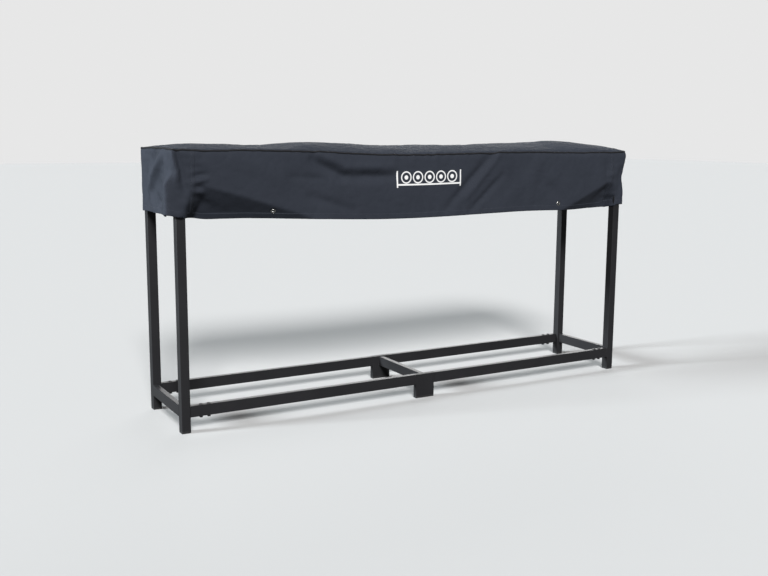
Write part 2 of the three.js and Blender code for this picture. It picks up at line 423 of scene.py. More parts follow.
# %% Geometry Nodes trees, and how to run one
class Tree:
    """A Geometry Nodes tree with named inputs."""

    def __init__(self, name, inputs):
        self.group = bpy.data.node_groups.new(name, "GeometryNodeTree")
        face = self.group.interface
        face.new_socket("Geometry", in_out="INPUT", socket_type="NodeSocketGeometry")
        for label, kind in inputs.items():
            face.new_socket(label, in_out="INPUT", socket_type=kind)
        face.new_socket("Geometry", in_out="OUTPUT", socket_type="NodeSocketGeometry")
        self.input = self.group.nodes.new("NodeGroupInput")
        self.output = self.group.nodes.new("NodeGroupOutput")

    def add(self, kind, settings=None, sockets=None):
        node = self.group.nodes.new(kind)
        for key, value in (settings or {}).items():
            setattr(node, key, value)
        for key, value in (sockets or {}).items():
            if isinstance(value, bpy.types.NodeSocket):
                self.group.links.new(value, node.inputs[key])
            else:
                node.inputs[key].default_value = value
        return node

    def end(self, geometry, material):
        real = self.add("GeometryNodeRealizeInstances", None, {"Geometry": geometry})
        painted = self.add(
            "GeometryNodeSetMaterial", None,
            {"Geometry": real.outputs[0], "Material": material})
        self.group.links.new(painted.outputs[0], self.output.inputs[0])


def settle(made):
    """Replaces an object's mesh with what its modifiers make of it, and removes them."""
    bpy.context.view_layer.update()
    graph = bpy.context.evaluated_depsgraph_get()
    mesh = bpy.data.meshes.new_from_object(made.evaluated_get(graph))
    made.modifiers.clear()
    made.data = mesh
    return made


def run_tree(made, tree, values):
    """Runs a tree on an object with the given input values and keeps the result as its mesh."""
    modifier = made.modifiers.new(tree.group.name, "NODES")
    modifier.node_group = tree.group
    sockets = {s.name: s.identifier for s in tree.group.interface.items_tree if s.in_out == "INPUT"}
    for label, value in values.items():
        modifier[sockets[label]] = value
    return settle(made)


print("node trees are built from", Tree.__name__)

# %% [markdown]
# ## Weld beads
#
# The tubes of an end frame are arc welded. A weld bead is a row of overlapping frozen puddles,
# like fallen coins. Each joint gets a line that runs round the three sides of the crossbar that
# aren't flush with the post, and the tree sets a flattened ball every few millimetres along it.
# Real puddles are uneven, so each one's size is a little random, from a fixed seed.

# %% Weld bead tree
def weld_tree(material):
    tree = Tree("weld_bead", {
        "Pitch": "NodeSocketFloat", "Radius": "NodeSocketFloat", "Seed": "NodeSocketInt"})
    ins = tree.input.outputs
    curve = tree.add("GeometryNodeMeshToCurve", None, {"Mesh": ins["Geometry"]})
    spots = tree.add(
        "GeometryNodeCurveToPoints", {"mode": "LENGTH"},
        {"Curve": curve.outputs[0], "Length": ins["Pitch"]})
    ball = tree.add("GeometryNodeMeshUVSphere", None, {
        "Segments": 10, "Rings": 6, "Radius": ins["Radius"]})
    size = tree.add(
        "FunctionNodeRandomValue", {"data_type": "FLOAT_VECTOR"},
        {"Min": (0.85, 0.85, 0.65), "Max": (1.15, 1.15, 0.85), "Seed": ins["Seed"]})
    laid = tree.add("GeometryNodeInstanceOnPoints", None, {
        "Points": spots.outputs["Points"], "Instance": ball.outputs["Mesh"],
        "Rotation": spots.outputs["Rotation"], "Scale": size.outputs[0]})
    tree.end(laid.outputs[0], material)
    return tree


weld_beads = weld_tree(steel)
print("tree:", weld_beads.group.name)

# %% Lay a bead round each welded joint
BEAD_RADIUS = 0.0026
BEAD_PITCH = 0.0034
BEAD_SINK = 0.0008  # how far a bead's line sits inside the corner
BEAD_OFF_POST = 0.0006  # and how far off the post's face it runs
BEAD_TURN = 0.0018  # it turns the bar's corner over this distance
BEAD_STOP = 0.0022  # and stops this short of the face that is flush with the post


def joint_line(bar_low, bar_high, at_y, outer_x_sign):
    """The line round three sides of a bar that ends on a post's side face at y."""
    flush = bar_high.x if outer_x_sign > 0 else bar_low.x
    inner = bar_low.x if outer_x_sign > 0 else bar_high.x
    inset = BEAD_STOP * outer_x_sign
    step = BEAD_SINK * outer_x_sign
    corner = BEAD_TURN * outer_x_sign
    top = bar_high.z
    bottom = bar_low.z
    return [
        (flush - inset, at_y, top - BEAD_SINK),
        (inner + corner, at_y, top - BEAD_SINK),
        (inner + step, at_y, top - BEAD_TURN),
        (inner + step, at_y, bottom + BEAD_TURN),
        (inner + corner, at_y, bottom + BEAD_SINK),
        (flush - inset, at_y, bottom + BEAD_SINK),
    ]


def bar_joints(name, outer_x_sign):
    low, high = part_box(name)
    ends = (low.y + BEAD_OFF_POST, high.y - BEAD_OFF_POST)
    return [(joint_line(low, high, at_y, outer_x_sign), False) for at_y in ends]


def add_frame_welds():
    lines = []
    for side, sign in (("left", -1), ("right", 1)):
        for level in ("bottom", "top"):
            lines += bar_joints(f"crossbar_{level}_{side}", sign)
    lines += bar_joints("centre_crossbar", 1)
    lines += bar_joints("centre_crossbar", -1)
    beads = paths_object("weld_beads", lines)
    run_tree(beads, weld_beads, {"Pitch": BEAD_PITCH, "Radius": BEAD_RADIUS, "Seed": 7})
    shade_smooth(beads)
    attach(beads, BODY_OF_FRAME)
    return beads


beads = add_frame_welds()
print("weld beads:", triangles(beads), "triangles")

# %% [markdown]
# ## How the cover is cut
#
# The cover is one shell of coated polyester, cut as a long top panel with a skirt sewn all round
# it. The flat cut is kept as the cloth's UV map, in metres: u runs along the cloth and v across
# it. The top panel has v from 0 to its width, and every skirt hangs below it with v from 0 down
# to the hem, so u and v say where any stitch, seam or grommet belongs however the cloth falls.

# %% Sizes of the cover, from the frame
CAD_CLOTH = 0.0025  # the frame's cover is this thick
CLOTH = 0.0012
CELL = 0.016  # size of a cloth cell before it is subdivided
END_SKIRT_SHORTER = 0.016  # the end skirts are cut this much shorter than the long ones
SKIRT_BLEND = 0.20  # the cut changes from one to the other over this length

_, top_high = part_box("cover_top")
front_low, front_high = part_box("cover_front")
HALF_X = top_high.x - CAD_CLOTH / 2
HALF_Y = top_high.y - CAD_CLOTH / 2
EDGE_Z = front_high.z + CAD_CLOTH
CROWN = top_high.z - EDGE_Z
DROP = EDGE_Z - front_low.z
TOP_WIDTH = 2 * HALF_Y * (1 + 2 / 3 * (CROWN / HALF_Y) ** 2)
U_FIRST = -HALF_X - 2 * HALF_Y  # the skirt runs from the rear left corner, round the left end,
U_LAST = 3 * HALF_X + 2 * HALF_Y  # front, right end and rear, back to the same corner
print(f"top panel {2 * HALF_X:.3f} x {TOP_WIDTH:.3f}, skirt {DROP:.3f}, round {U_LAST - U_FIRST:.3f}")


def eased(points, x):
    """A smooth curve through points (place, height), level at each of them."""
    places = [p for p, _ in points]
    heights = [h for _, h in points]
    index = np.clip(np.searchsorted(places, x, side="right") - 1, 0, len(points) - 2)
    first = np.take(places, index)
    last = np.take(places, index + 1)
    t = np.clip((x - first) / (last - first), 0.0, 1.0)
    t = t * t * (3 - 2 * t)
    return np.take(heights, index) * (1 - t) + np.take(heights, index + 1) * t


def skirt_drop(u):
    """How far the skirt hangs below its top edge, at u."""
    inside = min(abs(u), abs(u - 2 * HALF_X - 2 * HALF_Y))
    end = min(1.0, max(0.0, (inside - HALF_X + SKIRT_BLEND) / SKIRT_BLEND))
    return DROP - END_SKIRT_SHORTER * end * end * (3 - 2 * end)


def rear_u(x):
    return 2 * HALF_X + 2 * HALF_Y - x


# %% [markdown]
# ## What holds the cloth up
#
# In use the cover lies on the posts and on the top of the wood pile, which is never level, so
# the real thing shows low humps and long shallow sags. Two lines give the wood's height, one
# along its edges and one along its middle. The cloth has taken on part of that shape with use,
# so the shell is built with most of the edge's rise and fall in it already, and the crown
# flattens out towards its ends.

# %% The height of the wood, and of the shell of cloth
WOOD_EDGE = [
    (-1.24, 1.203), (-1.08, 1.195), (-0.89, 1.199), (-0.17, 1.173), (0.55, 1.185),
    (0.93, 1.176), (1.10, 1.179), (1.24, 1.183)]
WOOD_RIDGE = [
    (-1.24, 1.206), (-1.10, 1.220), (-0.82, 1.208), (-0.54, 1.228), (-0.07, 1.209),
    (0.16, 1.215), (0.32, 1.213), (0.66, 1.224), (0.96, 1.236), (1.16, 1.219), (1.24, 1.207)]
SHELL_CROWN = [(-1.24, 0.004), (-1.08, 0.024), (-0.80, 0.035), (1.05, 0.035), (1.24, 0.022)]
SHELL_SET = 0.75  # how much of the wood's edge line the shell has taken on
LEAN = 0.013  # how far the rear left corner leans in
LEAN_X = 0.95  # the lean starts this far left of the middle
LEAN_Y = 0.10  # and this far in front of it


def shell_edge(x):
    return EDGE_Z + SHELL_SET * (float(eased(WOOD_EDGE, x)) - EDGE_Z)


def lean_in(x, y):
    """The rear corner of the left end has been pulled in a little."""
    end = max(0.0, (-x - LEAN_X) / (HALF_X - LEAN_X))
    rear = max(0.0, (y + LEAN_Y) / (HALF_Y + LEAN_Y))
    return x + LEAN * end ** 3 * rear


def crown_point(x, t):
    """A point of the crowned top at x, with t from -1 at the front edge to 1 at the rear."""
    rise = float(eased(SHELL_CROWN, x))
    radius = (HALF_Y ** 2 + rise ** 2) / (2 * rise)
    angle = t * math.asin(HALF_Y / radius)
    y = radius * math.sin(angle)
    return (lean_in(x, y), y, shell_edge(x) + rise - radius * (1 - math.cos(angle)))


print(f"the shell's edge is {shell_edge(0.0):.3f} high in the middle")

# %% [markdown]
# The shell itself is a regular grid: the crowned top, then rows of skirt that hang from the
# top's edge. Regular cells let the cloth bend equally in every direction.

# %% Build the shell of cloth
def cloth_shell():
    along = round(2 * HALF_X / CELL)
    across = round(TOP_WIDTH / CELL)
    rows = round(DROP / CELL)
    points = []
    for j in range(across + 1):
        for i in range(along + 1):
            points.append(crown_point(HALF_X * (2 * i / along - 1), 2 * j / across - 1))

    def grid(i, j):
        return j * (along + 1) + i

    faces = []
    corners = []
    for j in range(across):
        for i in range(along):
            cell = [(i, j), (i + 1, j), (i + 1, j + 1), (i, j + 1)]
            faces.append([grid(*c) for c in cell])
            flat = [(HALF_X * (2 * i2 / along - 1), TOP_WIDTH * j2 / across) for i2, j2 in cell]
            corners.append(flat)

    rim = [(0, j) for j in range(across, 0, -1)]
    rim += [(i, 0) for i in range(along)]
    rim += [(along, j) for j in range(across)]
    rim += [(i, across) for i in range(along, 0, -1)]
    rim_u = []
    u = U_FIRST
    for n, at in enumerate(rim):
        rim_u.append(u)
        here = Vector(points[grid(*at)])
        there = Vector(points[grid(*rim[(n + 1) % len(rim)])])
        u += math.hypot(there.x - here.x, there.y - here.y)
    rim_u.append(u)

    rings = [[grid(*at) for at in rim]]
    for r in range(1, rows + 1):
        ring = []
        for n, at in enumerate(rim):
            x, y, z = points[grid(*at)]
            ring.append(len(points))
            points.append((x, y, z - skirt_drop(rim_u[n]) * r / rows))
        rings.append(ring)
    for r in range(rows):
        for n in range(len(rim)):
            m = (n + 1) % len(rim)
            faces.append([rings[r + 1][n], rings[r + 1][m], rings[r][m], rings[r][n]])
            low_n = -skirt_drop(rim_u[n])
            low_m = -skirt_drop(rim_u[n + 1])
            corners.append([
                (rim_u[n], low_n * (r + 1) / rows), (rim_u[n + 1], low_m * (r + 1) / rows),
                (rim_u[n + 1], low_m * r / rows), (rim_u[n], low_n * r / rows)])

    shell = object_from("cover_cloth", points, faces=faces)
    cut = shell.data.uv_layers.new(name="cut")
    flat_corners = [corner for face in corners for corner in face]
    for loop, corner in zip(cut.data, flat_corners):
        loop.uv = corner
    return shell


cover_cloth = cloth_shell()
print("cloth cells:", len(cover_cloth.data.polygons))

# %% [markdown]
# ## A hidden form in the wood's place
#
# A form with the wood's shape holds the cloth while it is draped, and is thrown away afterwards.
# Its top follows the two lines, with a scatter of low bumps for single logs, and stays just
# above the caps where the posts are. Its sides bulge a little between the posts.

# %% The hidden form
FORM_HALF_X = 1.2345
FORM_HALF_Y = 0.2362
FORM_LIFT = 0.004  # the cloth rests this far off the form
FORM_ROUND = 0.006  # radius of its long top edges
FORM_FOOT = 0.84  # its sides run from here
FORM_SHOULDER = 1.15  # up to here
FORM_BULGE = 0.006
FORM_FLAT = 0.012  # the form has its full section from this far in from its ends
FORM_END = [(0.0, 0.008), (0.004, 0.003)]  # in from an end, and how much smaller it is there


def log_bumps(seed, count):
    draw = random.Random(seed)
    bumps = []
    for _ in range(count):
        place = (draw.uniform(-1.15, 1.15), draw.uniform(-0.19, 0.19))
        size = (draw.uniform(0.05, 0.10), draw.uniform(0.02, 0.05), draw.uniform(0.001, 0.005))
        bumps.append((*place, *size))
    return bumps


def form_top(x, y, bumps):
    edge = eased(WOOD_EDGE, x)
    ridge = eased(WOOD_RIDGE, x)
    dome = max(0.0, 1 - (y / FORM_HALF_Y) ** 2) ** 0.75
    height = edge + (ridge - edge) * dome
    for bx, by, long, wide, tall in bumps:
        height += tall * math.exp(-((x - bx) / long) ** 2 - ((y - by) / wide) ** 2)
    return height - FORM_LIFT


def form_side(x, z, phase):
    """How far the wood bulges out of the frame, at the front or the rear."""
    wave = 0.5 + 0.5 * math.sin(4.1 * x + 5.0 * z + phase) * math.sin(2.3 * x - 9.0 * z + 2 * phase)
    inside = max(0.0, 1 - (abs(x) / 1.16) ** 8)
    return FORM_BULGE * wave * inside


def form_section(x, inset, bumps):
    """The outline of the form at x, from the front's foot over the top to the rear's foot."""
    half = FORM_HALF_Y - inset
    outline = []
    heights = np.linspace(FORM_FOOT, FORM_SHOULDER, 12)
    for z in heights:
        outline.append((x, -half - form_side(x, z, 0.4), z))
    top_z = form_top(x, -half, bumps) - inset
    for turn in (0, 30, 60):
        angle = math.radians(turn)
        y = -half + FORM_ROUND * (1 - math.cos(angle))
        outline.append((x, y, top_z - FORM_ROUND * (1 - math.sin(angle))))
    for y in np.linspace(-half + FORM_ROUND, half - FORM_ROUND, 25):
        outline.append((x, y, form_top(x, y, bumps) - inset))
    top_z = form_top(x, half, bumps) - inset
    for turn in (60, 30, 0):
        angle = math.radians(turn)
        y = half - FORM_ROUND * (1 - math.cos(angle))
        outline.append((x, y, top_z - FORM_ROUND * (1 - math.sin(angle))))
    for z in heights[::-1]:
        outline.append((x, half + form_side(x, z, 2.6), z))
    return outline


def hidden_form():
    bumps = log_bumps(11, 46)
    flat = FORM_HALF_X - FORM_FLAT
    stations = [(step - FORM_HALF_X, inset) for step, inset in FORM_END]
    stations += [(x, 0.0) for x in np.linspace(-flat, flat, 111)]
    stations += [(FORM_HALF_X - step, inset) for step, inset in reversed(FORM_END)]
    sections = [form_section(x, inset, bumps) for x, inset in stations]
    points = []
    size = len(sections[0])
    for section in sections:
        points += [(lean_in(x, y), y, z) for x, y, z in section]
    faces = []
    for n in range(len(sections) - 1):
        for m in range(size - 1):
            a = n * size + m
            faces.append((a, a + 1, a + size + 1, a + size))
    faces.append(tuple(range(size))[::-1])
    faces.append(tuple(range((len(sections) - 1) * size, len(sections) * size)))
    form = object_from("form", points, faces=faces)
    turn_outwards(form)
    return form


form = hidden_form()
print("form:", len(form.data.polygons), "faces")


# %% [markdown]
# ## Drape it
#
# Blender's cloth starts from the shell, held a few centimetres above the form, and lets it fall.
# The seams are given a slight shrink, because a sewn line is always a little shorter than the
# cloth beside it, and that is what makes a seam pucker. A gentle push inwards lays the skirts
# against the wood, as their weight and the wind do.

# %% The cloth simulation
DRAPE_FRAMES = 45
START_ABOVE = 0.045
SEAM_X = 1.151  # upright seams in the long skirts, near each end
SEAM_REACH = 0.012  # the cloth shrinks this far to each side of a seam
HEM_REACH = 0.030  # and this far up from the hem


def seam_weight(point):
    edge = shell_edge(point.x)
    at_rim = abs(point.y) > HALF_Y - SEAM_REACH or abs(point.x) > HALF_X - SEAM_REACH
    at_edge = abs(point.z - edge) < SEAM_REACH and at_rim
    at_seam = abs(abs(point.x) - SEAM_X) < SEAM_REACH and point.z < edge
    at_hem = point.z < edge - DROP + HEM_REACH + END_SKIRT_SHORTER
    return 1.0 if at_edge or at_seam or at_hem else 0.0


def drape(cloth, form):
    sewn = cloth.vertex_groups.new(name="sewn")
    for vertex in cloth.data.vertices:
        sewn.add([vertex.index], seam_weight(vertex.co), "REPLACE")
        vertex.co.z += START_ABOVE
    form.modifiers.new("collision", "COLLISION")
    form.collision.thickness_outer = 0.002
    form.collision.cloth_friction = 15
    modifier = cloth.modifiers.new("cloth", "CLOTH")
    settings = modifier.settings
    settings.quality = 7
    settings.mass = 0.12
    settings.air_damping = 3
    settings.tension_stiffness = 30
    settings.compression_stiffness = 30
    settings.shear_stiffness = 12
    settings.bending_stiffness = 1.2
    settings.vertex_group_shrink = "sewn"
    settings.shrink_min = 0.0
    settings.shrink_max = 0.012
    settings.use_pressure = True
    settings.uniform_pressure_force = -0.25
    modifier.collision_settings.collision_quality = 3
    modifier.collision_settings.distance_min = 0.002
    modifier.point_cache.frame_start = 1
    modifier.point_cache.frame_end = DRAPE_FRAMES
    scene = bpy.context.scene
    for number in range(1, DRAPE_FRAMES + 1):
        scene.frame_set(number)
    settle(cloth)
    scene.frame_set(1)


drape(cover_cloth, form)
bpy.data.objects.remove(form)
print("draped:", len(cover_cloth.data.vertices), "points")

# %% [markdown]
# ## Folds, tucks and puckers
#
# The simulation gives the broad fall of the cloth. A few things that it can't know are added
# afterwards: the soft folds at the sewn corners, the places near each end where the skirt tucks in
# under the wood, and the fine crumpling that a cover keeps from being packed away. Each one is a
# height over the flat cut, in u and v, and moves the cloth along its own normal. A fold is a soft
# ridge or valley along a line, and a tuck is a line below which the skirt leans in.

# %% Where the folds and tucks run
LEFT_CORNER_FOLDS = [
    # from u, v, to u, v, width, height
    (-1.234, -0.020, -1.200, -0.150, 0.011, 0.012),
    (-1.215, -0.006, -1.178, -0.170, 0.012, -0.015),
    (-1.185, -0.180, -1.176, -0.280, 0.014, 0.004),
    (-1.142, -0.102, -1.095, -0.098, 0.011, -0.0100),
    (-1.140, -0.126, -1.095, -0.117, 0.010, 0.0110),
    (-1.140, -0.148, -1.105, -0.150, 0.010, -0.0090),
    (-1.138, -0.172, -1.108, -0.176, 0.009, 0.0065),
    (-1.138, -0.198, -1.108, -0.204, 0.010, -0.0055),
]
FRONT_FOLDS = [
    (-0.570, -0.012, -0.440, -0.062, 0.024, 0.011),
    (-0.440, -0.062, -0.200, -0.056, 0.024, 0.010),
    (-0.605, -0.040, -0.455, -0.104, 0.024, -0.016),
    (-0.455, -0.104, -0.200, -0.098, 0.024, -0.015),
    (-0.705, -0.112, -0.530, -0.116, 0.013, -0.004),
    (-0.620, -0.198, -0.405, -0.253, 0.022, -0.008),
    (-0.960, -0.030, -0.780, -0.120, 0.050, 0.006),
    (0.370, -0.004, 0.105, -0.252, 0.020, -0.011),
    (0.405, -0.010, 0.215, -0.210, 0.018, 0.008),
    (0.430, -0.110, 0.235, -0.280, 0.018, -0.009),
    (0.700, -0.150, 0.800, -0.240, 0.030, -0.007),
    (0.640, -0.060, 0.600, -0.220, 0.040, 0.006),
    (1.145, -0.090, 1.150, -0.150, 0.016, 0.008),
    (1.215, -0.090, 1.205, -0.270, 0.020, -0.009),
    (1.110, -0.060, 1.128, -0.240, 0.014, -0.004),
]
END_FOLDS = [
    (1.240, -0.005, 1.250, -0.045, 0.020, 0.009),
    (1.2405, -0.110, 1.2405, -0.170, 0.026, -0.012),
    (-1.335, -0.024, -1.540, -0.182, 0.021, 0.025),
    (-1.304, -0.030, -1.300, -0.120, 0.018, 0.008),
    (-1.385, -0.120, -1.420, -0.250, 0.032, -0.012),
    (-1.460, -0.020, -1.540, -0.090, 0.026, -0.010),
    (-1.540, -0.075, -1.566, -0.175, 0.019, 0.013),
    (-1.525, -0.190, -1.500, -0.275, 0.018, 0.011),
    (-1.445, -0.210, -1.436, -0.250, 0.016, -0.013),
    (-1.610, -0.110, -1.620, -0.250, 0.024, -0.008),
    (1.330, -0.030, 1.400, -0.200, 0.018, 0.008),
    (1.520, -0.030, 1.470, -0.230, 0.020, -0.008),
]
REAR_FOLDS = [(rear_u(u0), v0, rear_u(u1), v1, w, h) for u0, v0, u1, v1, w, h in FRONT_FOLDS]
FOLDS = LEFT_CORNER_FOLDS + FRONT_FOLDS + END_FOLDS + REAR_FOLDS
TUCKS = [
    # from u, v, to u, v, and how far the cloth below this line leans in
    (-1.150, -0.130, -0.560, -0.305, 0.100),
    (0.780, -0.312, 1.160, -0.140, 0.085),
]
TUCKS += [(rear_u(u1), v1, rear_u(u0), v0, depth) for u0, v0, u1, v1, depth in TUCKS]
TUCK_REACH = 0.155  # a tuck leans in over this distance below its line
TUCK_SIDE = 0.11  # and starts and ends over this share of its length
print("folds:", len(FOLDS), "tucks:", len(TUCKS))

# %% How high the folds and how deep the tucks are, over the flat cut
def along_segment(u, v, u0, v0, u1, v1):
    """How far along a segment each point is, from 0 to 1, and how far off it."""
    du, dv = u1 - u0, v1 - v0
    t = np.clip(((u - u0) * du + (v - v0) * dv) / (du * du + dv * dv), 0.0, 1.0)
    return t, np.hypot(u - u0 - t * du, v - v0 - t * dv)


def fold_height(u, v):
    height = np.zeros_like(u)
    for u0, v0, u1, v1, width, tall in FOLDS:
        t, off = along_segment(u, v, u0, v0, u1, v1)
        swell = 0.55 + 0.45 * np.sin(np.pi * t)
        height += tall * swell * np.exp(-(off / width) ** 2)
    return height


def tuck_depth(u, v):
    depth = np.zeros_like(u)
    for u0, v0, u1, v1, lean in TUCKS:
        du, dv = u1 - u0, v1 - v0
        length = math.hypot(du, dv)
        below = ((u - u0) * dv - (v - v0) * du) / length
        t = ((u - u0) * du + (v - v0) * dv) / length ** 2
        side = np.clip(t / TUCK_SIDE, 0, 1) * np.clip((1.0 - t) / TUCK_SIDE, 0, 1)
        fade = np.clip(below / TUCK_REACH, 0, 1)
        depth += lean * side * (1 - (1 - fade) ** 1.3) * (v < 0)
    return depth


print("deepest tuck:", max(lean for *_, lean in TUCKS), "m")

# %% [markdown]
# Two finer things run over the whole cover: crumples, from the cloth being folded away, and the
# puckers beside each sewn line. Both are noise, which looks like chance but comes out the same
# every time.

# %% Crumples and puckers
BROAD_DENT = 0.0012
SMALL_DENT = 0.0005
CREASE_DEPTH = 0.0012
CREASE_WIDTH = 0.12
TOP_PUCKER = 0.0030
HEM_PUCKER = 0.0024
SEAM_PUCKER = 0.0048


def crumple(u, v):
    """Fine unevenness: soft dents, and creases where the noise crosses zero."""
    values = np.empty_like(u)
    for n in range(len(u)):
        broad = noise.noise(Vector((u[n] * 9, v[n] * 14, 3.1)))
        middle = noise.noise(Vector((u[n] * 26, v[n] * 38, 7.7)))
        crease = abs(noise.noise(Vector((u[n] * 15 + v[n] * 6, v[n] * 21 - u[n] * 5, 1.3))))
        values[n] = BROAD_DENT * broad + SMALL_DENT * middle
        values[n] -= CREASE_DEPTH * max(0.0, CREASE_WIDTH - crease) / CREASE_WIDTH
    return values


def pucker(u, v):
    """Short waves that run away from each sewn line."""
    wave = np.empty_like(u)
    rise = np.empty_like(u)
    for n in range(len(u)):
        wave[n] = noise.noise(Vector((u[n] * 34, 0.5, 9.0)))
        rise[n] = noise.noise(Vector((0.5, v[n] * 38, u[n] * 0.8)))
    below_top = np.exp(-(v / 0.030) ** 2)
    above_hem = np.exp(-((v + DROP - 0.020) / 0.026) ** 2)
    height = wave * (TOP_PUCKER * below_top + HEM_PUCKER * above_hem)
    for seam in (-SEAM_X, SEAM_X, rear_u(-SEAM_X), rear_u(SEAM_X)):
        height += rise * SEAM_PUCKER * np.exp(-((u - seam) / 0.034) ** 2) * (v < 0)
    return height


print(f"a crease is up to {1000 * CREASE_DEPTH:.1f} mm deep")

# %% [markdown]
# The front left corner is the loose one: the cover is a little long for the rack, and below the
# top edge it stands away from the post. Its points move outwards, and up a little, because the
# slack cloth there is pushed up as it is pushed out.

# %% The loose corner, and all of it added to the cloth
CORNER_FLARE = 0.032  # how far out the corner stands
FLARE_RISE = 0.012  # and how far up it is pushed
FLARE_REACH = 0.046  # how wide the loose part is
FLARE_FROM = 0.08  # it starts this far below the top edge, and is full as far again below


def loose_corner(u, v):
    """From 0 to 1, how much the loose lower part of the front left corner stands out."""
    near = np.exp(-((u + HALF_X) / FLARE_REACH) ** 2)
    down = np.clip((-v - FLARE_FROM) / FLARE_FROM, 0, 1)
    return near * down * down * (3 - 2 * down)


def add_folds(cloth):
    mesh = cloth.data
    count = len(mesh.vertices)
    corners = np.array([loop.uv[:] for loop in mesh.uv_layers["cut"].data])
    owners = np.array([loop.vertex_index for loop in mesh.loops])
    shares = np.bincount(owners, minlength=count)
    u = corners[:, 0]
    v = corners[:, 1]
    skirt = v < 1e-6
    height = np.where(skirt, fold_height(u, v) - tuck_depth(u, v), 0.0)
    height += crumple(u, v) + np.where(skirt, pucker(u, v), 0.0)
    moved = np.bincount(owners, weights=height, minlength=count) / shares
    normals = np.array([vertex.normal[:] for vertex in mesh.vertices])
    places = np.array([vertex.co[:] for vertex in mesh.vertices])
    places += normals * moved[:, None]
    out = np.bincount(owners, weights=loose_corner(u, v), minlength=count) / shares
    places[:, 0] -= CORNER_FLARE * out
    places[:, 2] += FLARE_RISE * out * out
    mesh.vertices.foreach_set("co", places.ravel())
    mesh.update()


print(f"the loose corner stands out by up to {1000 * CORNER_FLARE:.0f} mm")

# %% [markdown]
# The simulation leaves small upright ripples in the long skirts, which heavy coated cloth is too
# stiff to have. Before anything is added they are evened out: each point moves in or out towards
# the mean of its four neighbours, a few times over, but not near the ends, where the posts hold
# the cloth. One level of subdivision then rounds the cells.

# %% Calm the skirts, smooth the cloth and add the folds
CALM_PASSES = 10
CALM_INSIDE = 1.12  # nothing further from the middle is moved
CALM_FADE = 0.10  # and the move grows to its full share over this length inwards
CALM_SHARE = 0.5


def calm_skirts(cloth, passes):
    """Evens out the ripples of the long skirts, moving the cloth only in and out."""
    mesh = cloth.data
    places = np.array([vertex.co[:] for vertex in mesh.vertices])
    around = 2 * (round(2 * HALF_X / CELL) + round(TOP_WIDTH / CELL))
    rows = round(DROP / CELL)
    skirt = places[-rows * around:].reshape(rows, around, 3)
    share = CALM_SHARE * np.clip((CALM_INSIDE - np.abs(skirt[:, :, 0])) / CALM_FADE, 0, 1)
    depth = skirt[:, :, 1].copy()
    for _ in range(passes):
        tall = np.pad(depth, ((1, 1), (0, 0)), mode="edge")
        mean = (tall[:-2] + tall[2:] + np.roll(depth, 1, 1) + np.roll(depth, -1, 1)) / 4
        depth += share * (mean - depth)
    skirt[:, :, 1] = depth
    mesh.vertices.foreach_set("co", places.ravel())
    mesh.update()


def smoothed(made, levels):
    modifier = made.modifiers.new("smooth", "SUBSURF")
    modifier.levels = levels
    modifier.render_levels = levels
    modifier.uv_smooth = "NONE"
    return settle(made)


calm_skirts(cover_cloth, CALM_PASSES)
smoothed(cover_cloth, 1)
add_folds(cover_cloth)
print("cloth faces after smoothing:", len(cover_cloth.data.polygons))

# %% [markdown]
# ## Keep the cloth clear of the posts
#
# The folds must not push the cloth into a post or a cap. Every point that comes too close to
# a post or a cap is moved straight out again, so the cover lies outside the posts.

# %% Push the cloth off the posts
POST_CLEAR = 0.0035


def clear_of_posts(cloth):
    moved = 0
    for name in nodes:
        if not name.startswith(("post_front", "post_rear", "post_cap")):
            continue
        low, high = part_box(name)
        middle = (low + high) / 2
        for vertex in cloth.data.vertices:
            co = vertex.co
            inside_x = low.x - POST_CLEAR < co.x < high.x + POST_CLEAR
            inside_y = low.y - POST_CLEAR < co.y < high.y + POST_CLEAR
            if not (inside_x and inside_y and co.z < high.z + POST_CLEAR):
                continue
            out_x = (high.x - co.x if middle.x > 0 else co.x - low.x) + POST_CLEAR
            out_y = (high.y - co.y if middle.y > 0 else co.y - low.y) + POST_CLEAR
            out_z = high.z - co.z + POST_CLEAR
            least = min(out_x, out_y, out_z)
            if least == out_z:
                co.z += out_z
            elif least == out_y:
                co.y += math.copysign(out_y, middle.y)
            else:
                co.x += math.copysign(out_x, middle.x)
            moved += 1
    cloth.data.update()
    return moved


print("points moved off the posts:", clear_of_posts(cover_cloth))

# %% [markdown]
# ## From the flat cut to the draped cloth
#
# Seams, stitches, hem and grommets are all laid out on the flat cut and then carried on to the
# draped cloth. `Draped.at(u, v)` finds the cloth triangle that holds a flat point and gives the
# matching point in space, with the cloth's outward normal there.

# %% Find a flat point on the draped cloth
class Draped:
    """The cloth as it hangs, looked up by place on the flat cut."""

    def __init__(self, cloth):
        mesh = cloth.data
        mesh.calc_loop_triangles()
        cut = mesh.uv_layers["cut"].data
        self.flat = []
        self.solid = []
        self.normals = []
        for triangle in mesh.loop_triangles:
            self.flat.append([Vector((*cut[loop].uv, 0.0)) for loop in triangle.loops])
            self.solid.append([mesh.vertices[v].co.copy() for v in triangle.vertices])
            self.normals.append([mesh.vertices[v].normal.copy() for v in triangle.vertices])
        points = [corner for triangle in self.flat for corner in triangle]
        triples = [(3 * n, 3 * n + 1, 3 * n + 2) for n in range(len(self.flat))]
        self.tree = BVHTree.FromPolygons(points, triples, all_triangles=True)

    def at(self, u, v, off=0.0):
        found, _, index, _ = self.tree.find_nearest(Vector((u, v, 0.0)))
        flat = self.flat[index]
        point = barycentric_transform(found, *flat, *self.solid[index])
        normal = barycentric_transform(found, *flat, *self.normals[index]).normalized()
        return point + normal * off, normal


def round_rim(step):
    """Values of u once round the skirt, without the last, which is the first again."""
    count = round((U_LAST - U_FIRST) / step)
    return [U_FIRST + (U_LAST - U_FIRST) * n / count for n in range(count)]


draped = Draped(cover_cloth)
print("front middle of the top edge:", draped.at(0.0, 0.0)[0])

